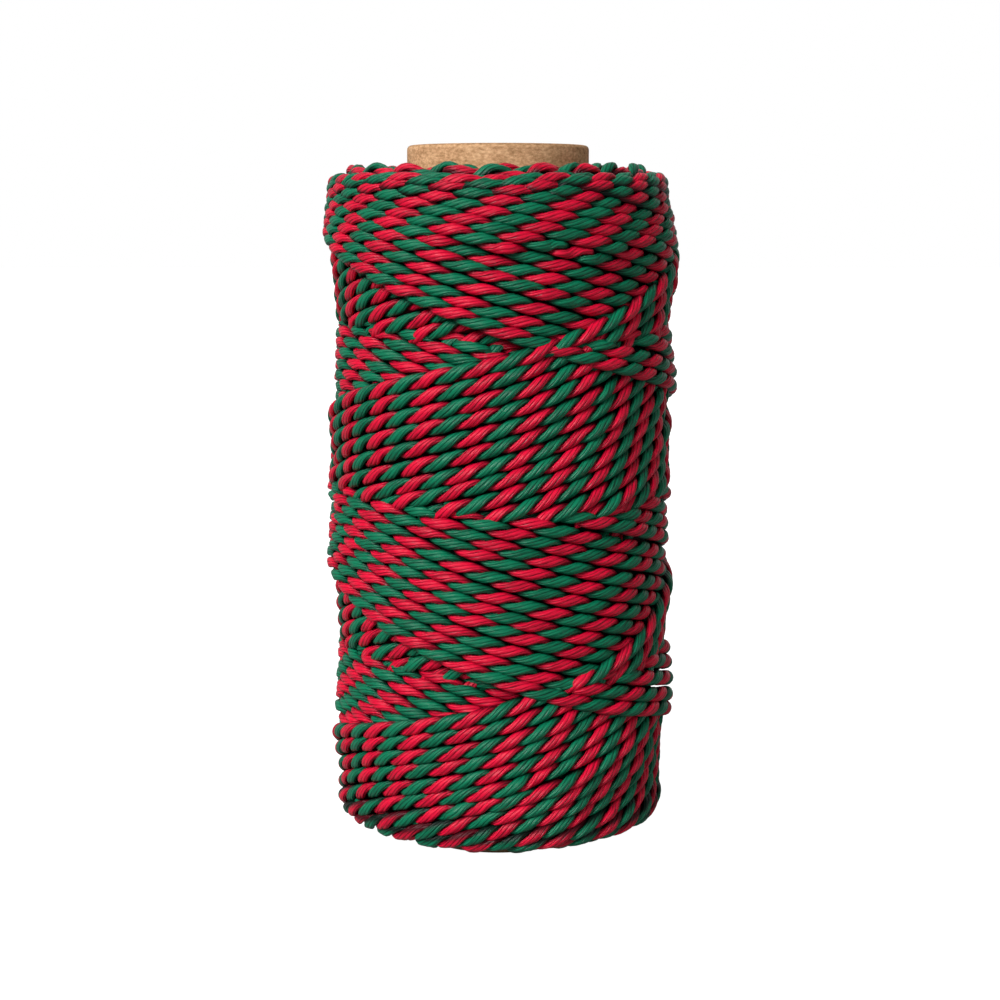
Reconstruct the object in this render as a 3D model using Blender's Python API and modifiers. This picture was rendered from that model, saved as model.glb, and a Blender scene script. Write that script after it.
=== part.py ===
"""Roll of two-colour twisted cord, cross wound on a paperboard tube that stands on its end.

Metres, +Z up. The origin is the centre of the tube's lower rim, and the front of the roll faces -Y.
Angles run from the front towards +X. Turns that go down that way are called falling, the others rising.
"""

import math

import bmesh
import bpy

COLLECTION_NAME = "cord_roll"

# The tube is the common one-inch core, and the cord a 2.5 mm twisted one.
CORE_BORE = 0.0254
CORE_WALL = 0.0023
CORE_TOP_ROUNDING = 0.0007
CORE_RIM_BREAK = 0.0003
CORE_SEGMENTS = 64
CORE_STANDS_PROUD = 0.0028
CORE_CLEARANCE = 0.0003
CORD_DIAMETER = 0.0025

# A pass of the cord runs the whole height in two turns of the roll, and
# this many parallel passes lie side by side before a layer is full.
PASSES_PER_LAYER = 20
RISE_PER_TURN = 0.0544
WINDING_RADIUS = 0.0281
SHOULDER_WIDTH = 0.0083
SHOULDER_HEIGHT = 0.0049
LOWER_END_FLARE = 0.0005

# The winding's surface is a net with a column and a row for every half turn spacing, so its
# diagonals follow the falling and the rising turns. Crests and grooves take alternate points.
COLUMNS = 2 * PASSES_PER_LAYER
ROW_HEIGHT = RISE_PER_TURN / COLUMNS
STRAIGHT_ROWS = 74
SHOULDER_ROWS = 5
END_FACE_ROWS = 2

# The newest layer lies a step above the older one, and its turns are ridges.
LAYER_STEP = 0.42 * CORD_DIAMETER
RIDGE_HEIGHT = 0.30 * CORD_DIAMETER

# Where the newest falling pass crosses the newest rising one, near the front.
NEWEST_CROSSING_ANGLE = math.radians(16.5)
ROWS_ABOVE_CROSSING = END_FACE_ROWS + SHOULDER_ROWS + 18

core_radius = CORE_BORE / 2 + CORE_WALL
winding_bore_radius = core_radius + CORE_CLEARANCE
straight_height = STRAIGHT_ROWS * ROW_HEIGHT
winding_bottom = CORE_STANDS_PROUD
winding_top = winding_bottom + straight_height + 2 * SHOULDER_HEIGHT
core_length = winding_top + CORE_STANDS_PROUD


def clear_scene():
    """Removes the objects that Blender starts with."""
    for old in list(bpy.data.objects):
        bpy.data.objects.remove(old, do_unlink=True)


def new_material(name, colour, roughness):
    """A Principled material of one colour."""
    material = bpy.data.materials.new(name)
    material.use_nodes = True
    shader = material.node_tree.nodes["Principled BSDF"]
    shader.inputs["Base Color"].default_value = (*colour, 1.0)
    shader.inputs["Roughness"].default_value = roughness
    shader.inputs["Metallic"].default_value = 0.0
    return material


def add_piece(collection, mesh, material):
    """Puts a mesh in the collection as a piece of the same name."""
    piece = bpy.data.objects.new(mesh.name, mesh)
    collection.objects.link(piece)
    mesh.materials.append(material)
    return piece


# The paperboard core: a turned wall, rounded over at the top, with a flat ring at each end.


def core_section():
    """(radius, height) round the wall: down its outer side, across the foot and up the bore."""
    outer = core_radius
    inner = CORE_BORE / 2
    over = CORE_TOP_ROUNDING
    rim = CORE_RIM_BREAK
    section = []
    for step in range(4):
        angle = math.pi / 2 * step / 3
        height = core_length - over + over * math.cos(angle)
        section.append((outer - over + over * math.sin(angle), height))
    section += [(outer, rim), (outer - rim, 0.0), (inner + rim, 0.0), (inner, rim)]
    section += [(inner, core_length - rim), (inner + rim, core_length)]
    return section


def build_core(collection):
    """Turns the wall's section about Z."""
    section = core_section()
    points = [(radius, 0.0, height) for radius, height in section]
    edges = [(index, (index + 1) % len(points)) for index in range(len(points))]
    mesh = bpy.data.meshes.new("core_tube")
    mesh.from_pydata(points, edges, [])
    core = add_piece(collection, mesh, new_material("kraft paperboard", (0.45, 0.29, 0.16), 0.85))
    turned = core.modifiers.new("turned", "SCREW")
    turned.steps = CORE_SEGMENTS
    turned.render_steps = CORE_SEGMENTS
    turned.use_merge_vertices = True
    turned.merge_threshold = 0.00001
    turned.use_normal_calculate = True
    turned.use_smooth_shade = False


# The winding: one solid with the roll's rounded ends, its bands of passes and the ridges of their turns.


def shoulder_row(row, edge_height, up):
    """(radius, height, outward radius, outward height) at a row counted from the end face outwards."""
    angle = math.pi / 2 * row / SHOULDER_ROWS
    radius = WINDING_RADIUS - SHOULDER_WIDTH * (1.0 - math.sin(angle))
    height = edge_height + up * SHOULDER_HEIGHT * math.cos(angle)
    out_r = SHOULDER_HEIGHT * math.sin(angle)
    out_z = SHOULDER_WIDTH * math.cos(angle)
    length = math.hypot(out_r, out_z)
    return radius, height, out_r / length, up * out_z / length


def end_face_rows(height, up):
    """Rows from the bore outwards on the flat part of an end face."""
    edge_radius = WINDING_RADIUS - SHOULDER_WIDTH
    rows = []
    for row in range(END_FACE_ROWS):
        radius = winding_bore_radius + (edge_radius - winding_bore_radius) * row / END_FACE_ROWS
        rows.append((radius, height, 0.0, up))
    return rows


def winding_rows():
    """Rows round the winding's section: the top face, the side, the bottom face, and up the bore."""
    upper_edge = winding_top - SHOULDER_HEIGHT
    lower_edge = winding_bottom + SHOULDER_HEIGHT
    top = [shoulder_row(row, upper_edge, 1.0) for row in range(SHOULDER_ROWS)]
    bottom = [shoulder_row(row, lower_edge, -1.0) for row in range(SHOULDER_ROWS)]
    rows = end_face_rows(winding_top, 1.0) + top
    for row in range(STRAIGHT_ROWS + 1):
        rows.append((WINDING_RADIUS, upper_edge - row * ROW_HEIGHT, 1.0, 0.0))
    rows += bottom[::-1] + end_face_rows(winding_bottom, -1.0)[::-1]
    return rows + rows[:1]


def ages(column, row):
    """How old the newest falling and rising turns at a point of the net are, from 0 to 1 layer."""
    below = row - ROWS_ABOVE_CROSSING
    falling_age = (column - below) % COLUMNS / COLUMNS
    rising_age = (column + below) % COLUMNS / COLUMNS
    return falling_age, rising_age


def wound_point(rows, column, row):
    """Where a point of the net lies on the wound surface."""
    radius, height, out_r, out_z = rows[row]
    angle = NEWEST_CROSSING_ANGLE + math.tau * column / COLUMNS
    on_side = max(0.0, out_r) ** 2
    groove = (column + row - ROWS_ABOVE_CROSSING) % 2
    lift = on_side * (LAYER_STEP * (1.0 - sum(ages(column, row))) + RIDGE_HEIGHT * (0.5 - groove))
    flare = on_side * LOWER_END_FLARE * (winding_top - height) / (winding_top - winding_bottom)
    radius += out_r * lift + flare
    height += out_z * lift
    return radius * math.sin(angle), -radius * math.cos(angle), height


def falling_shows(face):
    """Whether the turns that lie on top at a face of the flat net are falling ones."""
    centre = face.calc_center_median()
    column = round((centre.x + 0.5) * COLUMNS - 0.5)
    row = round(centre.y - 0.5)
    falling_age, _ = ages(column, row)
    _, rising_age = ages(column, row + 1)
    return falling_age <= rising_age


def build_winding(collection):
    """Splits a flat net along the turns, wraps it round the roll's section and closes it both ways."""
    rows = winding_rows()
    last_row = len(rows) - 1
    net = bmesh.new()
    bmesh.ops.create_grid(net, x_segments=COLUMNS, y_segments=last_row, size=0.5)
    for vertex in net.verts:
        vertex.co.y = round((vertex.co.y + 0.5) * last_row)
    falling = [face for face in net.faces if falling_shows(face)]
    rising = [face for face in net.faces if not falling_shows(face)]
    bmesh.ops.triangulate(net, faces=falling, quad_method="FIXED")
    bmesh.ops.triangulate(net, faces=rising, quad_method="ALTERNATE")
    for vertex in net.verts:
        column = round((vertex.co.x + 0.5) * COLUMNS)
        vertex.co = wound_point(rows, column, round(vertex.co.y))
    bmesh.ops.remove_doubles(net, verts=net.verts[:], dist=0.00001)
    bmesh.ops.recalc_face_normals(net, faces=net.faces[:])
    mesh = bpy.data.meshes.new("cord_winding")
    net.to_mesh(mesh)
    net.free()
    add_piece(collection, mesh, new_material("red and green cord", (0.42, 0.03, 0.05), 0.6))


def build():
    """Builds the roll in a collection of its own."""
    clear_scene()
    collection = bpy.data.collections.new(COLLECTION_NAME)
    bpy.context.scene.collection.children.link(collection)
    build_core(collection)
    build_winding(collection)


build()
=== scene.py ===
"""Roll of red and green twisted cord, cross wound on a paperboard tube, standing in a white studio."""

import math
from functools import partial

import bpy
import numpy as np
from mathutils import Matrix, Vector


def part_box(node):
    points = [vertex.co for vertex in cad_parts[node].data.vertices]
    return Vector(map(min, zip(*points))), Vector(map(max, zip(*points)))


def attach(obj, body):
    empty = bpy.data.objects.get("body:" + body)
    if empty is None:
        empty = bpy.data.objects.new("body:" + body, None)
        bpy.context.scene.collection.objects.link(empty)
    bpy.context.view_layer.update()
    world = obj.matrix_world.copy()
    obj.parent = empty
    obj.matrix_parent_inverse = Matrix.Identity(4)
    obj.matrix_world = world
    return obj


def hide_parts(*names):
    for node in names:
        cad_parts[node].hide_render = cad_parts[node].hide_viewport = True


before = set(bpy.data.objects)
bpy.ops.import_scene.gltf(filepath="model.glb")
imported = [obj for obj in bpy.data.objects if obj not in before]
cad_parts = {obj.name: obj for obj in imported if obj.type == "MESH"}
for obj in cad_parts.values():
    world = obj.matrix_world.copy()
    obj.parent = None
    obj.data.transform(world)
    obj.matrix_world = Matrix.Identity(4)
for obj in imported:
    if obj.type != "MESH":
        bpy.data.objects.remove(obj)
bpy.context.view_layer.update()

# ------------------------------------------------------------------------------------------------
# Studio: a white paper floor that the roll stands on, under a white surround. A large soft light
# comes from the upper left, a weak one fills in from the right and a broad one from behind. The
# camera is near the top of the roll and looks slightly down at its front.
# ------------------------------------------------------------------------------------------------
camera_distance = 0.3150
camera_height = 0.1059
camera_pitch_degrees = 7.63

camera_data = bpy.data.cameras.new("camera")
camera_data.lens = 67.8
camera_data.sensor_width = 36.0
camera_data.shift_x = 0.002
camera_data.shift_y = -0.04
camera = bpy.data.objects.new("camera", camera_data)
camera.location = (0.0, -camera_distance, camera_height)
camera.rotation_euler = (math.radians(90.0) - math.radians(camera_pitch_degrees), 0.0, 0.0)
bpy.context.scene.collection.objects.link(camera)
bpy.context.scene.camera = camera
bpy.context.scene.view_settings.view_transform = "Standard"

floor_reach = 3
floor_corners = [(-1, -1), (1, -1), (1, 1), (-1, 1)]
floor_mesh = bpy.data.meshes.new("studio_floor")
floor_mesh.from_pydata([(floor_reach * x, floor_reach * y, 0) for x, y in floor_corners], [], [(0, 1, 2, 3)])
floor = bpy.data.objects.new("studio_floor", floor_mesh)
bpy.context.scene.collection.objects.link(floor)
floor_paper = bpy.data.materials.new("white paper floor")
floor_paper.use_nodes = True
floor_shader = floor_paper.node_tree.nodes["Principled BSDF"]
floor_shader.inputs["Base Color"].default_value = (0.30, 0.30, 0.30, 1.0)
floor_shader.inputs["Roughness"].default_value = 0.9
floor_shader.inputs["Specular IOR Level"].default_value = 0.1
floor_shader.inputs["Emission Color"].default_value = (1.0, 1.0, 1.0, 1.0)
floor_mesh.materials.append(floor_paper)

world = bpy.data.worlds.new("white studio")
world.use_nodes = True
world_nodes = world.node_tree.nodes
surround = world_nodes["Background"]
surround.inputs["Color"].default_value = (1.0, 1.0, 1.0, 1.0)
bpy.context.scene.world = world


def glow_to_camera(tree, strength_socket, given, shown):
    """Floor and surround show as white but give the roll only this much light."""
    light_path = tree.nodes.new("ShaderNodeLightPath")
    brightness = tree.nodes.new("ShaderNodeMapRange")
    brightness.inputs["To Min"].default_value = given
    brightness.inputs["To Max"].default_value = shown
    tree.links.new(light_path.outputs["Is Camera Ray"], brightness.inputs["Value"])
    tree.links.new(brightness.outputs["Result"], strength_socket)


glow_to_camera(floor_paper.node_tree, floor_shader.inputs["Emission Strength"], 0.0, 1.0)
glow_to_camera(world.node_tree, surround.inputs["Strength"], 0.11, 1.0)


def add_soft_sun(name, aim, strength, spread_degrees):
    """A distant light with soft edges that shines along a direction."""
    light = bpy.data.lights.new(name, "SUN")
    light.energy = strength
    light.angle = math.radians(spread_degrees)
    lamp = bpy.data.objects.new(name, light)
    lamp.rotation_euler = Vector(aim).to_track_quat("-Z", "Y").to_euler()
    bpy.context.scene.collection.objects.link(lamp)


add_soft_sun("key_light", (0.62, 0.75, -0.70), 4.0, 30.0)
add_soft_sun("fill_light", (-0.80, 0.60, -0.45), 0.44, 60.0)
add_soft_sun("back_light", (0.15, -0.90, -0.55), 0.75, 110.0)

# ------------------------------------------------------------------------------------------------
# Paperboard core: a tube of brown kraft paper, glued up in layers that run round it in a spiral.
# It is open at both ends and its rims are rubbed round. It replaces the plain turned tube, and the
# cord is wound straight onto it.
# ------------------------------------------------------------------------------------------------
tube_low, tube_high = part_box("core_tube")
tube_radius = tube_high.x
tube_wall = 0.0023
tube_rim_rounding = 0.0007
tube_segments = 128
rim_steps = 4

tube_section = []
for corner_radius, corner_height, turn_from, side in (
    (tube_radius, tube_high.z, 0.0, 1.0),
    (tube_radius, tube_low.z, 90.0, 1.0),
    (tube_radius - tube_wall, tube_low.z, 180.0, -1.0),
    (tube_radius - tube_wall, tube_high.z, 270.0, -1.0),
):
    rounding = tube_rim_rounding if side > 0 else tube_rim_rounding / 2
    up = 1.0 if corner_height > tube_low.z else -1.0
    for step in range(rim_steps + 1):
        angle = math.radians(turn_from + 90.0 * step / rim_steps)
        tube_section.append(
            (
                corner_radius - side * rounding + rounding * math.sin(angle),
                corner_height - up * rounding + rounding * math.cos(angle),
            )
        )

tube_points = []
tube_faces = []
for segment in range(tube_segments):
    angle = math.tau * segment / tube_segments
    for radius, height in tube_section:
        tube_points.append((radius * math.sin(angle), -radius * math.cos(angle), height))
count = len(tube_section)
for segment in range(tube_segments):
    this, after = segment * count, (segment + 1) % tube_segments * count
    for index in range(count):
        nearby = (index + 1) % count
        tube_faces.append((this + index, this + nearby, after + nearby, after + index))

tube_mesh = bpy.data.meshes.new("paperboard_core")
tube_mesh.from_pydata(tube_points, [], tube_faces)
tube_mesh.shade_smooth()
paper_tube = bpy.data.objects.new("paperboard_core", tube_mesh)
bpy.context.scene.collection.objects.link(paper_tube)
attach(paper_tube, "root")
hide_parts("core_tube")

spiral_lead = 0.046
seam_share = 0.007
paper_thickness = 0.00046
kraft = bpy.data.materials.new("kraft paperboard")
kraft.use_nodes = True
kraft_nodes = kraft.node_tree.nodes
kraft_links = kraft.node_tree.links
kraft_shader = kraft_nodes["Principled BSDF"]
kraft_shader.inputs["Roughness"].default_value = 0.88
kraft_shader.inputs["Specular IOR Level"].default_value = 0.2
paper_place = kraft_nodes.new("ShaderNodeTexCoord")


def kraft_mottle(scale, detail, squash):
    """A patch of paper fibres: noise over the tube, squashed along its height."""
    stretch = kraft_nodes.new("ShaderNodeMapping")
    stretch.inputs["Scale"].default_value = (1.0, 1.0, squash)
    kraft_links.new(paper_place.outputs["Object"], stretch.inputs["Vector"])
    noise = kraft_nodes.new("ShaderNodeTexNoise")
    noise.inputs["Scale"].default_value = scale
    noise.inputs["Detail"].default_value = detail
    noise.inputs["Roughness"].default_value = 0.65
    kraft_links.new(stretch.outputs["Vector"], noise.inputs["Vector"])
    return noise.outputs["Fac"]


def node_math(tree, operation, *values):
    """One step of arithmetic in a node tree, where each value is a socket or a number."""
    step = tree.nodes.new("ShaderNodeMath")
    step.operation = operation
    for socket, value in zip(step.inputs, values):
        if isinstance(value, float):
            socket.default_value = value
        else:
            tree.links.new(value, socket)
    return step.outputs[0]


kraft_math = partial(node_math, kraft.node_tree)
fine_fibres = kraft_math("MULTIPLY", kraft_mottle(1500.0, 4.0, 1.7), 0.72)
soft_patches = kraft_math("MULTIPLY", kraft_mottle(220.0, 2.0, 3.0), 0.28)
mottle = kraft_math("ADD", fine_fibres, soft_patches)
# The paper runs round the tube in a spiral, whose edge shows as a faint line.
tube_axes = kraft_nodes.new("ShaderNodeSeparateXYZ")
kraft_links.new(paper_place.outputs["Object"], tube_axes.inputs[0])
round_tube = kraft_math("ARCTAN2", tube_axes.outputs["Y"], tube_axes.outputs["X"])
turns_round = kraft_math("DIVIDE", round_tube, math.tau)
turns_up = kraft_math("DIVIDE", tube_axes.outputs["Z"], spiral_lead)
seam = kraft_math("LESS_THAN", kraft_math("FRACT", kraft_math("ADD", turns_round, turns_up)), seam_share)
mottle = kraft_math("SUBTRACT", mottle, kraft_math("MULTIPLY", seam, 0.10))
# Its layers show as fine rings on the cut ends.
across_x = kraft_math("MULTIPLY", tube_axes.outputs["X"], tube_axes.outputs["X"])
across_y = kraft_math("MULTIPLY", tube_axes.outputs["Y"], tube_axes.outputs["Y"])
from_axis = kraft_math("POWER", kraft_math("ADD", across_x, across_y), 0.5)
layers = kraft_math("PINGPONG", kraft_math("DIVIDE", from_axis, paper_thickness), 0.5)
ring_shade = kraft_math("MULTIPLY", kraft_math("SUBTRACT", layers, 0.42), 0.30)
mottle = kraft_math("ADD", mottle, ring_shade)
kraft_tones = kraft_nodes.new("ShaderNodeValToRGB")
kraft_tones.color_ramp.elements[0].position = 0.30
kraft_tones.color_ramp.elements[0].color = (0.230, 0.120, 0.048, 1.0)
kraft_tones.color_ramp.elements[1].position = 0.69
kraft_tones.color_ramp.elements[1].color = (0.780, 0.500, 0.285, 1.0)
kraft_mid = kraft_tones.color_ramp.elements.new(0.50)
kraft_mid.color = (0.515, 0.296, 0.150, 1.0)
kraft_links.new(mottle, kraft_tones.inputs["Fac"])
kraft_links.new(kraft_tones.outputs["Color"], kraft_shader.inputs["Base Color"])
kraft_grain = kraft_nodes.new("ShaderNodeBump")
kraft_grain.inputs["Strength"].default_value = 0.5
kraft_grain.inputs["Distance"].default_value = 0.00012
kraft_links.new(mottle, kraft_grain.inputs["Height"])
kraft_links.new(kraft_grain.outputs["Normal"], kraft_shader.inputs["Normal"])
tube_mesh.materials.append(kraft)

# ------------------------------------------------------------------------------------------------
# Wound cord: one long cord of two plies of glossy yarn, a red and a green. It is laid on in passes
# that climb the roll in two turns and come back, each a cord's width behind the last, and only its
# own tension holds it. Where a pass crosses older ones it rides over them.
# ------------------------------------------------------------------------------------------------
winding_low, winding_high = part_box("cord_winding")
winding_middle = (winding_high.z + winding_low.z) / 2
winding_half_height = (winding_high.z - winding_low.z) / 2
cord_radius = 0.00127
laid_half_thickness = 0.00092
# How it is wound: a little short of two turns a pass, so that each pass falls beside the last.
rise_per_degree = 0.0548 / 360
degrees_per_pass = 711.3
passes_laid = 126
newest_pass_angle = 192.0
# The full roll: rounded over at both ends, and a little wider at its foot.
wound_radius = 0.0286
shoulder_width = 0.0083
shoulder_drop = 0.0049
flare = 0.0005
# Where a pass turns back: how late the cord follows the guide, on the core and on the full roll,
# and how far it is carried past the end of its stroke, or falls short of it on the core.
lag_degrees = 36.0
lag_on_core = 0.05
lag_grows_from = 0.30
lag_grows_over = 0.45
end_reach = {1.0: 0.0012, -1.0: 0.0022}
end_sink = {1.0: 0.0010, -1.0: 0.0}
end_reach_degrees = 28.0
# Away from its turning points the cord sways up and down twice a turn with the guides, and
# wanders a little in them.
sway = 0.0012
sway_angle = 16.5
sway_from, sway_over = 10.0, 80.0
waves = ((47.0, 0.00005), (83.0, 0.00006), (211.0, 0.00007))
offset_spread = 0.00010
wander_from, wander_over = 15.0, 60.0
# Near them it slips along the roll to where it lies lowest, and is held down on the shoulder.
slips_tried = np.arange(-0.0008, 0.0009, 0.0002)
slip_degrees = 90.0
slip_felt_degrees = 60.0
slip_grip = 0.4
slip_memory = 0.9
held_until, held_over = 75.0, 30.0
# Everywhere it bites into the cord below, and is pulled down where it stands proud of the roll.
bite = 0.00020
pulled_down = 0.45
crest_allowed = 0.0012
taut_rounds = 16

chance = np.random.default_rng(7)
pass_offset = chance.normal(0.0, offset_spread, passes_laid + 1)
wave_starts = chance.uniform(0, math.tau, (3, passes_laid + 1))
half_pass = degrees_per_pass / 2
newest_turn = newest_pass_angle + half_pass

# The surface of the growing roll, as a radius for each row of its height and each degree round it.
row_height = 0.0002
lowest_row = winding_low.z - 0.001
row_count = int((winding_high.z - winding_low.z + 0.002) / row_height)
row_levels = lowest_row + row_height * np.arange(row_count)
surface = np.full((row_count, 360), tube_radius)


def smooth_step(share):
    """A share from 0 to 1 with a soft start and a soft finish."""
    return share * share * (3.0 - 2.0 * share)


def shoulder_radius(level):
    """The roll's full radius at a level, rounded at both shoulders."""
    past = np.abs(level - winding_middle) - (winding_half_height - shoulder_drop)
    past = np.clip(past / shoulder_drop, 0.0, 1.0)
    return wound_radius - shoulder_width * (1.0 - np.sqrt(1.0 - past**2))


def shoulder_share(radius):
    """How far out along the shoulder a radius is, from 0 at its inner edge to 1 at the full roll."""
    return np.clip((radius - (wound_radius - shoulder_width)) / shoulder_width, 0.0, 1.0)


def rest_on_surface(level, half_width, columns):
    """The rows that a cord at these levels covers, its arch over them, and the radius it rests at."""
    touched = np.round((level - lowest_row) / row_height).astype(int)[:, None] + np.arange(-7, 8)
    touched = np.clip(touched, 0, row_count - 1)
    off_centre = (row_levels[touched] - level[:, None]) / half_width[:, None]
    arch = laid_half_thickness * np.sqrt(np.clip(1.0 - off_centre**2, 0.0, None))
    below = surface[touched, columns[:, None]]
    resting = np.where(np.abs(off_centre) < 0.85, below + arch, 0.0).max(axis=1)
    return touched, off_centre, arch, below, resting


def follow_guide(degree, a_pass, turn_degree, end_side, grown_radius):
    """The cord's levels on a turn-round, and how many degrees each is from where it turns back."""
    # The guide turns back sharply, and the cord follows it late, further behind as the roll grows.
    grown = (shoulder_share(grown_radius) - lag_grows_from) / lag_grows_over
    grown = min(max(grown, 0.0), 1.0)
    lag = lag_degrees * (lag_on_core + (1.0 - lag_on_core) * smooth_step(grown))
    since = degree - turn_degree + lag
    trailing = since - 2.0 * lag + 2.0 * lag * np.exp(-np.maximum(since, 0.0) / lag)
    caught_up = np.where(since < 0.0, -since, trailing)
    to_turn = np.abs(since - lag * math.log(2.0))
    carried = end_reach[end_side] * grown - end_sink[end_side] * (1.0 - grown)
    reach_out = rise_per_degree * (half_pass - lag - caught_up)
    reach_out = reach_out + carried * np.exp(-((to_turn / end_reach_degrees) ** 2))
    wander = pass_offset[a_pass]
    for (wave_degrees, size), start in zip(waves, wave_starts):
        wander = wander + size * np.sin(math.tau * degree / wave_degrees + start[a_pass])
    wander = wander * np.clip((to_turn - wander_from) / wander_over, 0.0, 1.0)
    swayed = 1.0 - np.cos(2 * np.radians(degree - sway_angle))
    swayed = np.clip((to_turn - sway_from) / sway_over, 0.0, 1.0) * swayed
    return winding_middle + end_side * reach_out + wander + sway * swayed, to_turn


def slip_to_lowest(level, to_turn, half_width, columns, end_side, grown_radius, last_slip):
    """Near the end the cord slips along the roll to where it lies lowest, much as the last did."""
    near = to_turn < slip_felt_degrees
    ease = smooth_step(np.clip(1.0 - to_turn / slip_degrees, 0.0, 1.0))
    best = None
    for slip in slips_tried:
        tried = level + end_side * slip * ease
        resting = rest_on_surface(tried[near], half_width[near], columns[near])[-1]
        ceiling = np.minimum(grown_radius, shoulder_radius(tried[near]) - cord_radius)
        cost = np.maximum(resting - ceiling, 0.0).mean() + slip_grip * abs(slip - last_slip)
        if best is None or cost < best[0]:
            best = (cost, tried, slip)
    return best[1], best[2]


def pull_taut(resting, level, to_turn, grown_radius, last_radius):
    """Under tension the cord bridges small hollows and bites into the crests that it crosses."""
    proud = np.maximum(resting - grown_radius - laid_half_thickness, 0.0)
    pressed = resting - bite - pulled_down * proud
    ceiling = np.minimum(grown_radius + crest_allowed, shoulder_radius(level) - 0.5 * cord_radius)
    held = np.clip((held_until - to_turn) / held_over, 0.0, 1.0)
    held_down = held * np.maximum(resting - ceiling, 0.0)
    taut = resting - held_down
    pressed = pressed - held_down
    for _ in range(taut_rounds):
        padded = np.concatenate(([last_radius], taut, taut[-1:]))
        taut = np.maximum(pressed, 0.25 * padded[:-2] + 0.5 * taut + 0.25 * padded[2:])
    return taut


# The cord is laid one turn-round at a time, from the middle of the roll to an end and back.
laid = {"degree": [], "level": [], "radius": [], "a_pass": [], "slope": [], "turn": []}
last_slips = {-1.0: 0.0, 1.0: 0.0}
last_radius = tube_radius + laid_half_thickness
for turn in range(passes_laid):
    turn_degree = newest_turn - (passes_laid - 1 - turn) * degrees_per_pass
    degree = np.arange(math.ceil(turn_degree - half_pass), math.ceil(turn_degree + half_pass))
    if turn == passes_laid - 1:
        degree = degree[degree <= turn_degree]
    end_side = -1.0 if (passes_laid - 1 - turn) % 2 == 0 else 1.0
    a_pass = np.where(degree < turn_degree, turn, turn + 1)
    grown_radius = tube_radius + (wound_radius - tube_radius) * (turn + 0.5) / passes_laid
    level, to_turn = follow_guide(degree, a_pass, turn_degree, end_side, grown_radius)
    slope = np.gradient(level) / (math.radians(1.0) * grown_radius)
    half_width = cord_radius * np.sqrt(1.0 + slope**2)
    columns = degree % 360
    level, slip = slip_to_lowest(
        level, to_turn, half_width, columns, end_side, grown_radius, last_slips[end_side]
    )
    last_slips[end_side] = slip_memory * slip
    touched, off_centre, arch, below, resting = rest_on_surface(level, half_width, columns)
    taut = pull_taut(resting, level, to_turn, grown_radius, last_radius)
    last_radius = taut[-1]
    top = np.where(np.abs(off_centre) < 1.0, taut[:, None] + arch, 0.0)
    surface[touched, columns[:, None]] = np.maximum(below, top)
    which_turn = np.full(len(degree), turn)
    for name, values in zip(laid, (degree, level, taut, a_pass, slope, which_turn)):
        laid[name].append(values)
laid = {name: np.concatenate(values) for name, values in laid.items()}

# Only the stretches that some side of the finished roll shows are made as cord. The rest lies
# under them, and the packed inner body made further down stands in for it.
sight_slack = 0.00004
rows_to_show = 2
end_depth = 0.010
end_map_reach = 0.034
end_bulge_width = 1.35 * laid_half_thickness
hidden_margin = 4
degree, level, radius = laid["degree"], laid["level"], laid["radius"]
columns = degree % 360
half_width = cord_radius * np.sqrt(1.0 + laid["slope"] ** 2)
touched, off_centre, arch, outer, _ = rest_on_surface(level, half_width, columns)
seen_rows = (np.abs(off_centre) < 0.95) & (radius[:, None] + arch > outer - sight_slack)
in_sight = seen_rows.sum(axis=1) > rows_to_show
for end_side in (-1.0, 1.0):
    reach_out = end_side * (level - winding_middle)
    end_part = reach_out > winding_half_height - end_depth
    steps = np.arange(-6, 7) * row_height
    circle = np.round((radius[end_part][:, None] + steps) / row_height).astype(int)
    bulge = cord_radius * np.sqrt(np.clip(1.0 - (steps / end_bulge_width) ** 2, 0.0, 1.0))
    end_top = reach_out[end_part][:, None] + bulge
    end_map = np.zeros((int(end_map_reach / row_height), 360))
    np.maximum.at(end_map, (circle, columns[end_part][:, None]), end_top)
    end_surface = end_map[circle, columns[end_part][:, None]]
    in_sight[end_part] |= (end_top > end_surface - sight_slack).sum(axis=1) > rows_to_show
for _ in range(hidden_margin):
    in_sight[1:-1] = in_sight[1:-1] | in_sight[:-2] | in_sight[2:]
edges = np.flatnonzero(np.diff(np.concatenate(([False], in_sight, [False])).astype(int)))
stretches = edges.reshape(-1, 2)

# The cord beds down in the cord below it, so the finished roll keeps less than half of the relief
# that the laying gave it. It is wound a little off the tube's centre.
relief_kept = 0.45
settled_radius = 0.02790
widest_centre = 0.0280
squeezed_in = 0.75
off_centre_by = 0.00055
old_passes = 34
inner_radius = tube_radius + laid_half_thickness
nominal = inner_radius + (settled_radius - inner_radius) * ((laid["turn"] + 0.5) / passes_laid) ** 0.6
radius = nominal + relief_kept * (radius - nominal)
radius = radius - squeezed_in * np.maximum(radius - widest_centre, 0.0)
radius = radius + flare * np.clip((winding_high.z - level) / (winding_high.z - winding_low.z), 0, 1)
radius = radius + off_centre_by * np.sin(np.radians(degree))
is_rising = (passes_laid - 1 - laid["a_pass"]) % 2 == 1
is_old = laid["turn"] < passes_laid - old_passes

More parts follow.
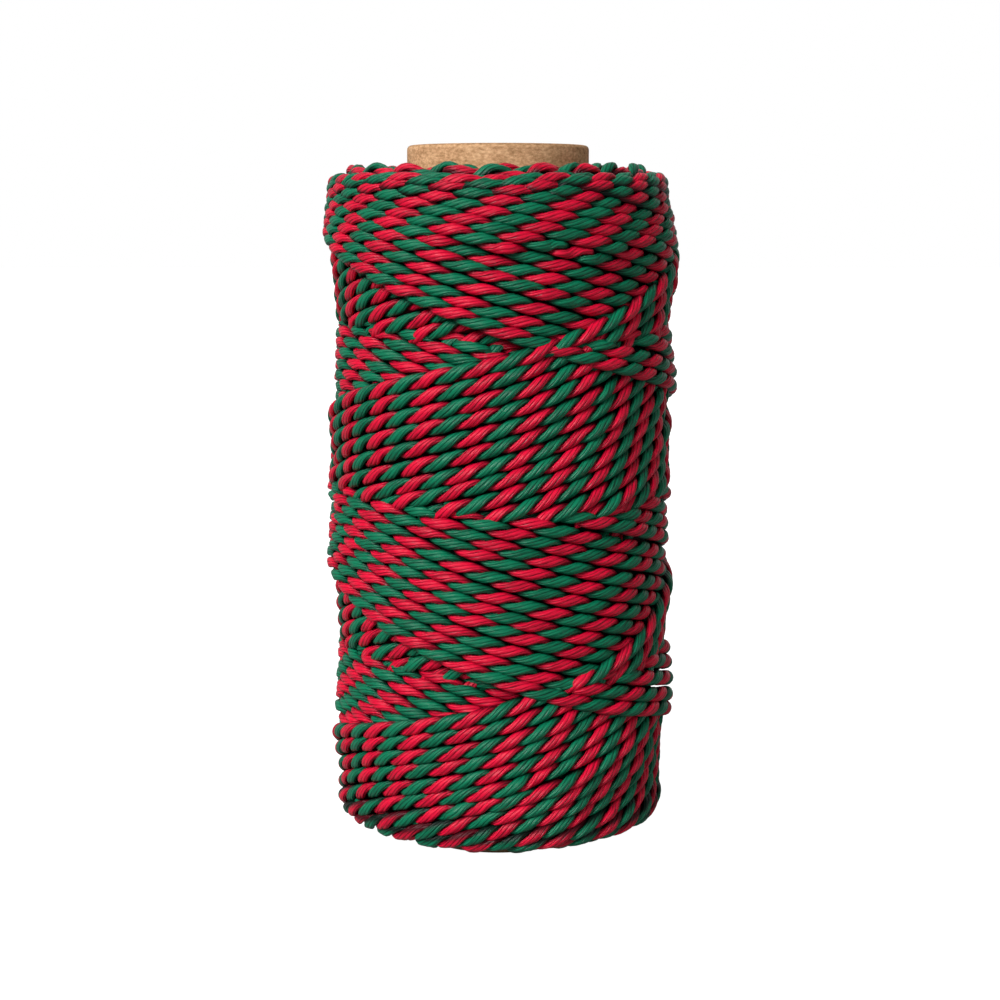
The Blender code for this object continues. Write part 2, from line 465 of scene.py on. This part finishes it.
# Flat turns that have slipped off the ends fill the hollows between the turn-rounds.
flat_turns = 3.3
flat_turn_start = tube_radius + 0.3 * cord_radius
flat_turn_pitch = 0.0024
flat_turn_depth = 0.0014
laid_count = len(degree)
for end_side in (-1.0, 1.0):
    flat_degree = np.arange(0.0, 360.0 * flat_turns, 1.5)
    flat_radius = flat_turn_start + flat_turn_pitch * flat_degree / 360.0
    fallen_away = shoulder_drop * (1.0 - np.sqrt(1.0 - shoulder_share(flat_radius) ** 2))
    sunk = cord_radius + flat_turn_depth + fallen_away
    flat_level = winding_middle + end_side * (winding_half_height - sunk)
    stretches = np.concatenate((stretches, [(len(degree) + 2, len(degree) + len(flat_degree) - 2)]))
    degree = np.concatenate((degree, flat_degree))
    level = np.concatenate((level, flat_level))
    radius = np.concatenate((radius, flat_radius))
    is_rising = np.concatenate((is_rising, np.full(len(flat_degree), False)))
    is_old = np.concatenate((is_old, np.full(len(flat_degree), True)))

# The cord's centre line in order, with the directions outward and sideways at each point of it.
angle = np.radians(degree)
centre_line = np.stack((radius * np.sin(angle), -radius * np.cos(angle), level), axis=1)
outward = np.stack((np.sin(angle), -np.cos(angle), np.zeros(len(angle))), axis=1)
along = np.gradient(centre_line, axis=0)
step_length = np.linalg.norm(along, axis=1)
along /= step_length[:, None]
cord_length = np.cumsum(step_length)
outward -= (outward * along).sum(axis=1)[:, None] * along
outward /= np.linalg.norm(outward, axis=1)[:, None]
sideways = np.cross(along, outward)
# The side of the cord that shows leans over from outward to endways across each shoulder.
lean_height = 0.8 * shoulder_width
top_lean = np.clip((level - winding_high.z + shoulder_width) / lean_height, 0.0, 1.0)
bottom_lean = np.clip((winding_low.z + shoulder_width - level) / lean_height, 0.0, 1.0)
lean = math.pi / 2 * (top_lean - bottom_lean)
facing = outward * np.cos(lean)[:, None]
facing[:, 2] += np.sin(lean)

# The twist of the two plies, in turns. It keeps its lay along the cord, and each pass is turned so
# that the colours step along from one pass to the next, by a different amount each way.
lay_length = 0.0089
colour_step_falling = 0.31
colour_step_rising = -0.10
colour_spread = 0.04
handover_degrees = 140.0
pass_shift_degrees = 4 * 360 - 2 * degrees_per_pass
beside = math.radians(pass_shift_degrees) * wound_radius / lay_length
crossing = newest_pass_angle - degrees_per_pass * np.arange(passes_laid, -1, -1) + degrees_per_pass
length_at_crossing = np.interp(crossing, degree[:laid_count], cord_length[:laid_count])
colour_phase = np.zeros(passes_laid + 1)
for a_pass in range(2, passes_laid + 1):
    is_falling = (passes_laid - 1 - a_pass) % 2 == 0
    wanted = colour_step_falling if is_falling else colour_step_rising
    colour_phase[a_pass] = colour_phase[a_pass - 2] + wanted - beside + chance.normal(0.0, colour_spread)
offset = colour_phase - length_at_crossing / lay_length
for a_pass in range(1, passes_laid + 1):
    change = offset[a_pass] - offset[a_pass - 1]
    offset[a_pass] = offset[a_pass - 1] + change - round(change)
turn_at = newest_turn - (passes_laid - 1 - laid["turn"]) * degrees_per_pass
share = smooth_step(np.clip((degree[:laid_count] - turn_at) / handover_degrees + 0.5, 0.0, 1.0))
twist = cord_length / lay_length
twist[:laid_count] += offset[laid["turn"]] * (1.0 - share) + offset[laid["turn"] + 1] * share

# Each ply is a soft lobe pressed against the other, twisted to the left.
ply_offset, ply_depth, ply_width = 0.47, 0.53, 0.78
pressed_flat = 0.96
lobe_degrees = np.array((-180.0, -112.0, -72.0, -35.0, 0.0, 35.0, 72.0, 112.0))
lobe_angles = np.radians(lobe_degrees)
lobe_out = cord_radius * (ply_offset + ply_depth * np.cos(lobe_angles))
lobe_side = cord_radius * ply_width * np.sin(lobe_angles)
lobe_points = len(lobe_angles)
lobe_shares = np.append((lobe_degrees + 180.0) / 360.0, 1.0)


def lobe_rings(start, stop, half_turn):
    """The rings of points round one stretch of a ply, and how far each stands off the roll."""
    turned = -math.tau * (twist[start:stop, None] + half_turn)
    across = lobe_out * np.cos(turned) - lobe_side * np.sin(turned)
    beside = lobe_out * np.sin(turned) + lobe_side * np.cos(turned)
    lifted = pressed_flat * across[:, :, None] * outward[start:stop, None, :]
    ring = centre_line[start:stop, None, :] + lifted
    ring = ring + beside[:, :, None] * sideways[start:stop, None, :]
    from_centre = ring - centre_line[start:stop, None, :]
    lift = (from_centre * facing[start:stop, None, :]).sum(axis=2) / cord_radius
    return ring.reshape(-1, 3), lift.ravel()


def lobe_maps(start, stop, done_length, strip_length, strips):
    """Two maps of a stretch's faces: in strips one under the other, and in millimetres along it."""
    here = np.repeat(cord_length[start:stop - 1, None], lobe_points, axis=1)
    there = np.repeat(cord_length[start + 1:stop, None], lobe_points, axis=1)
    low_share = np.broadcast_to(lobe_shares[None, :-1], here.shape)
    high_share = np.broadcast_to(lobe_shares[None, 1:], here.shape)
    along_yarn = np.stack((here, here, there, there), axis=2) * 1000
    around_yarn = np.stack((low_share, high_share, high_share, low_share), axis=2)
    yarn_map = np.stack((along_yarn, around_yarn), axis=3).reshape(-1, 2)
    strip = np.floor((here - cord_length[start] + done_length) / strip_length)
    along_strip = (along_yarn / 1000 - cord_length[start] + done_length) / strip_length
    along_strip = 0.004 + 0.988 * (along_strip - strip[:, :, None])
    around_strip = (strip[:, :, None] + 0.04 + 0.92 * around_yarn) / strips
    return np.stack((along_strip, around_strip), axis=3).reshape(-1, 2), yarn_map


def twist_ply(name, chosen, half_turn, material):
    """One colour's ply over the chosen stretches of cord, as closed twisted lobes."""
    strips = 16
    points, lifts, quads, ends, strip_maps, yarn_maps = [], [], [], [], [], []
    spans = [(max(start - 1, 0), min(stop + 1, len(level))) for start, stop in chosen]
    whole_length = sum(cord_length[stop - 1] - cord_length[start] for start, stop in spans)
    strip_length = whole_length / (strips - 0.02)
    done_length = 0.0
    first = 0
    around = np.arange(lobe_points)[None, :]
    after = (around + 1) % lobe_points
    for start, stop in spans:
        span_points, span_lifts = lobe_rings(start, stop, half_turn)
        points.append(span_points)
        lifts.append(span_lifts)
        strip_map, yarn_map = lobe_maps(start, stop, done_length, strip_length, strips)
        strip_maps.append(strip_map)
        yarn_maps.append(yarn_map)
        rings = stop - start
        base = first + lobe_points * np.arange(rings - 1)[:, None]
        next_ring = base + lobe_points
        quads.append(np.stack((base + around, base + after, next_ring + after, next_ring + around), axis=2))
        ends.append(list(range(first + lobe_points - 1, first - 1, -1)))
        ends.append(list(range(first + lobe_points * (rings - 1), first + lobe_points * rings)))
        done_length += cord_length[stop - 1] - cord_length[start]
        first += lobe_points * rings
    mesh = bpy.data.meshes.new(name)
    sides = np.concatenate([part.reshape(-1, 4) for part in quads])
    mesh.from_pydata(np.concatenate(points).tolist(), [], sides.tolist() + ends)
    # The cut ends lie hidden in the roll, so they all share one small corner of each map.
    corner_angles = np.radians(360.0 / lobe_points * np.arange(lobe_points))
    end_corners = 0.998 + 0.001 * np.stack((np.cos(corner_angles), np.sin(corner_angles)), axis=1)
    for map_name, side_maps in (("OFBake", strip_maps), ("yarn", yarn_maps)):
        layer = mesh.uv_layers.new(name=map_name)
        corners = np.concatenate(side_maps + [end_corners] * len(ends))
        layer.data.foreach_set("uv", corners.ravel())
    # The lift of each point drives the painted shade in the grooves between cords.
    lift_layer = mesh.attributes.new("lift", "FLOAT", "POINT")
    lift_layer.data.foreach_set("value", np.concatenate(lifts))
    mesh.shade_smooth()
    mesh.materials.append(material)
    piece = bpy.data.objects.new(name, mesh)
    bpy.context.scene.collection.objects.link(piece)
    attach(piece, "root")
    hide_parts("cord_winding")


def make_yarn_lines():
    """Node group: the fine yarns of a ply as a height and a shade from its yarn map; the shade holds each
    yarn's own tone and its fibres, with painted shade between the yarns and painted light on their crests.
    """
    group = bpy.data.node_groups.new("yarn lines", "ShaderNodeTree")
    group.interface.new_socket("Yarns", in_out="INPUT", socket_type="NodeSocketFloat")
    group.interface.new_socket("Yarn Twist", in_out="INPUT", socket_type="NodeSocketFloat")
    group.interface.new_socket("Height", in_out="OUTPUT", socket_type="NodeSocketFloat")
    group.interface.new_socket("Shade", in_out="OUTPUT", socket_type="NodeSocketFloat")
    nodes, links = group.nodes, group.links
    inlet = nodes.new("NodeGroupInput")
    outlet = nodes.new("NodeGroupOutput")
    yarn_map = nodes.new("ShaderNodeUVMap")
    yarn_map.uv_map = "yarn"
    split = nodes.new("ShaderNodeSeparateXYZ")
    links.new(yarn_map.outputs["UV"], split.inputs[0])
    calculate = partial(node_math, group)
    # Each yarn is a round ridge that winds along the ply, with a tone of its own.
    twisted = calculate("MULTIPLY", split.outputs["X"], inlet.outputs["Yarn Twist"])
    around = calculate("MULTIPLY", split.outputs["Y"], inlet.outputs["Yarns"])
    place = calculate("ADD", twisted, around)
    within = calculate("FRACT", place)
    centred = calculate("SUBTRACT", calculate("MULTIPLY", within, 2.0), 1.0)
    fallen = calculate("SUBTRACT", 1.0, calculate("MULTIPLY", centred, centred))
    rounded = calculate("SQRT", calculate("MAXIMUM", fallen, 0.0))
    yarn_number = calculate("MODULO", calculate("FLOOR", place), inlet.outputs["Yarns"])
    own_tone = nodes.new("ShaderNodeTexWhiteNoise")
    own_tone.noise_dimensions = "1D"
    links.new(yarn_number, own_tone.inputs["W"])
    # Its fibres are fine streaks drawn out along it.
    stretched = nodes.new("ShaderNodeCombineXYZ")
    links.new(calculate("MULTIPLY", split.outputs["X"], 0.55), stretched.inputs["X"])
    links.new(calculate("MULTIPLY", place, 4.5), stretched.inputs["Y"])
    fibres = nodes.new("ShaderNodeTexNoise")
    fibres.noise_dimensions = "2D"
    fibres.inputs["Scale"].default_value = 1.0
    fibres.inputs["Detail"].default_value = 4.0
    links.new(stretched.outputs[0], fibres.inputs["Vector"])
    fibre_height = calculate("MULTIPLY", fibres.outputs["Fac"], 0.70)
    links.new(calculate("ADD", rounded, fibre_height), outlet.inputs["Height"])
    tone_and_painted_shade = calculate("SUBTRACT", calculate("MULTIPLY", own_tone.outputs["Value"], 0.34), 0.17)
    # Painted shade and painted light: each yarn is darker at its edges, down between the yarns, and lighter
    # on its crest.
    tone_and_painted_shade = calculate("ADD", tone_and_painted_shade, calculate("MULTIPLY", rounded, 0.38))
    tone_and_painted_shade = calculate("ADD", tone_and_painted_shade, calculate("MULTIPLY", fibres.outputs["Fac"], 0.93))
    links.new(tone_and_painted_shade, outlet.inputs["Shade"])
    return group


yarn_lines = make_yarn_lines()


def dye_yarn(name, shaded, lit):
    """A glossy filament yarn of one colour, as a ramp from a painted shaded copy of it to a painted lit
    copy, with painted shade between its fine yarns and in the grooves between cords.
    """
    material = bpy.data.materials.new(name)
    material.use_nodes = True
    nodes, links = material.node_tree.nodes, material.node_tree.links
    shader = nodes["Principled BSDF"]
    shader.inputs["Roughness"].default_value = 0.34
    shader.inputs["Specular IOR Level"].default_value = 0.24
    lines = nodes.new("ShaderNodeGroup")
    lines.node_tree = yarn_lines
    lines.inputs["Yarns"].default_value = 7.0
    lines.inputs["Yarn Twist"].default_value = -0.22
    # The ramp runs from the painted shaded copy of the colour to the painted lit copy.
    colours = nodes.new("ShaderNodeValToRGB")
    colours.color_ramp.elements[0].position = 0.26
    colours.color_ramp.elements[0].color = (*shaded, 1.0)
    colours.color_ramp.elements[1].position = 0.84
    colours.color_ramp.elements[1].color = (*lit, 1.0)
    # Painted shade: the colour is darkened down in the grooves between neighbouring cords, where the cord
    # turns away from the outside of the roll, with a little painted light where it stands out most.
    lift = nodes.new("ShaderNodeAttribute")
    lift.attribute_name = "lift"
    painted_groove_shade = nodes.new("ShaderNodeMapRange")
    painted_groove_shade.inputs["From Min"].default_value = -0.15
    painted_groove_shade.inputs["From Max"].default_value = 0.60
    painted_groove_shade.inputs["To Min"].default_value = 0.25
    painted_groove_shade.inputs["To Max"].default_value = 1.06
    links.new(lift.outputs["Fac"], painted_groove_shade.inputs["Value"])
    shade_with_painted_groove = node_math(material.node_tree, "MULTIPLY", lines.outputs["Shade"], painted_groove_shade.outputs["Result"])
    links.new(shade_with_painted_groove, colours.inputs["Fac"])
    links.new(colours.outputs["Color"], shader.inputs["Base Color"])
    relief = nodes.new("ShaderNodeBump")
    relief.inputs["Strength"].default_value = 0.8
    relief.inputs["Distance"].default_value = 0.00020
    links.new(lines.outputs["Height"], relief.inputs["Height"])
    links.new(relief.outputs["Normal"], shader.inputs["Normal"])
    return material


# Each yarn colour is given twice, as a painted shaded copy and a painted lit copy.
red_yarn = dye_yarn("red yarn", (0.070, 0.0001, 0.005), (0.70, 0.003, 0.036))
green_yarn = dye_yarn("green yarn", (0.0001, 0.009, 0.005), (0.001, 0.168, 0.080))
for part, wanted in (
    ("rising", is_rising & ~is_old),
    ("falling", ~is_rising & ~is_old),
    ("older", is_old),
):
    chosen = [(start, stop) for start, stop in stretches if wanted[(start + stop) // 2]]
    twist_ply("red_ply_" + part, chosen, 0.0, red_yarn)
    twist_ply("green_ply_" + part, chosen, 0.5, green_yarn)

# ------------------------------------------------------------------------------------------------
# Packed inside of the winding: the older passes that nothing shows but the grooves between the
# cords above them. One ring-shaped body of the same yarn stands in for them, striped in painted
# shade, and follows the surface of the roll just under the cords that show.
# ------------------------------------------------------------------------------------------------
body_depth = 0.0014
body_end_depth = 0.0031
body_shoulder_depth = 0.0017
body_columns, body_rows = 90, 120
rows_either_side = 8
column_step = 360 // body_columns
body_levels = np.linspace(winding_low.z + body_end_depth, winding_high.z - body_end_depth, body_rows)
row_index = np.round((body_levels - lowest_row) / row_height).astype(int)
outer_map = np.stack([
    surface[max(row - rows_either_side, 0):row + rows_either_side + 1]
    .min(axis=0).reshape(body_columns, column_step).min(axis=1)
    for row in row_index
])
outer_map = settled_radius + relief_kept * (outer_map - settled_radius) - body_depth
outer_map = np.minimum(outer_map, (shoulder_radius(body_levels) - body_shoulder_depth)[:, None])
sunk_in_tube = 0.0002
on_tube = np.full(body_columns, tube_radius - sunk_in_tube)
rings = [(body_levels[0], on_tube), *zip(body_levels, outer_map), (body_levels[-1], on_tube)]
body_points = []
body_faces = []
for level_here, radii in rings:
    for column, radius_here in enumerate(radii):
        turned = math.radians((column + 0.5) * column_step)
        body_points.append((radius_here * math.sin(turned), -radius_here * math.cos(turned), level_here))
for row in range(len(rings)):
    this, after = row * body_columns, (row + 1) % len(rings) * body_columns
    for column in range(body_columns):
        nearby = (column + 1) % body_columns
        body_faces.append((this + column, this + nearby, after + nearby, after + column))
body_mesh = bpy.data.meshes.new("packed_inner_winding")
body_mesh.from_pydata(body_points, [], body_faces)
body_mesh.shade_smooth()
inner_body = bpy.data.objects.new("packed_inner_winding", body_mesh)
bpy.context.scene.collection.objects.link(inner_body)
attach(inner_body, "root")
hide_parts("cord_winding")

packed_yarn = bpy.data.materials.new("packed yarn")
packed_yarn.use_nodes = True
packed_nodes = packed_yarn.node_tree.nodes
packed_links = packed_yarn.node_tree.links
packed_shader = packed_nodes["Principled BSDF"]
packed_shader.inputs["Roughness"].default_value = 0.6
packed_shader.inputs["Specular IOR Level"].default_value = 0.15
packed_place = packed_nodes.new("ShaderNodeTexCoord")
packed_axes = packed_nodes.new("ShaderNodeSeparateXYZ")
packed_links.new(packed_place.outputs["Object"], packed_axes.inputs[0])
# Rows of hidden cord, a cord's width apart, each striped by its two plies.
packed_math = partial(node_math, packed_yarn.node_tree)
round_roll = packed_math("ARCTAN2", packed_axes.outputs["Y"], packed_axes.outputs["X"])
rows_up = packed_math("DIVIDE", packed_axes.outputs["Z"], 2 * cord_radius)
rows = packed_math("ADD", rows_up, packed_math("MULTIPLY", round_roll, 3.0 / math.tau))
row_round = packed_math("SINE", packed_math("MULTIPLY", packed_math("FRACT", rows), math.pi))
stripes_round = packed_math("MULTIPLY", round_roll, settled_radius / lay_length)
stripes = packed_math("ADD", stripes_round, packed_math("MULTIPLY", rows, colour_step_falling))
stripe_wave = packed_math("SINE", packed_math("MULTIPLY", stripes, math.tau))
# Painted shade: both ply colours are given as dark shaded copies, as they look deep in the grooves.
packed_painted_shade_tones = packed_nodes.new("ShaderNodeValToRGB")
packed_painted_shade_tones.color_ramp.elements[0].position = 0.45
packed_painted_shade_tones.color_ramp.elements[0].color = (0.070, 0.001, 0.004, 1.0)
packed_painted_shade_tones.color_ramp.elements[1].position = 0.55
packed_painted_shade_tones.color_ramp.elements[1].color = (0.0005, 0.022, 0.012, 1.0)
packed_links.new(packed_math("MULTIPLY_ADD", stripe_wave, 0.5, 0.5), packed_painted_shade_tones.inputs["Fac"])
packed_links.new(packed_painted_shade_tones.outputs["Color"], packed_shader.inputs["Base Color"])
packed_relief = packed_nodes.new("ShaderNodeBump")
packed_relief.inputs["Strength"].default_value = 1.0
packed_relief.inputs["Distance"].default_value = 0.0008
packed_links.new(row_round, packed_relief.inputs["Height"])
packed_links.new(packed_relief.outputs["Normal"], packed_shader.inputs["Normal"])
body_mesh.materials.append(packed_yarn)
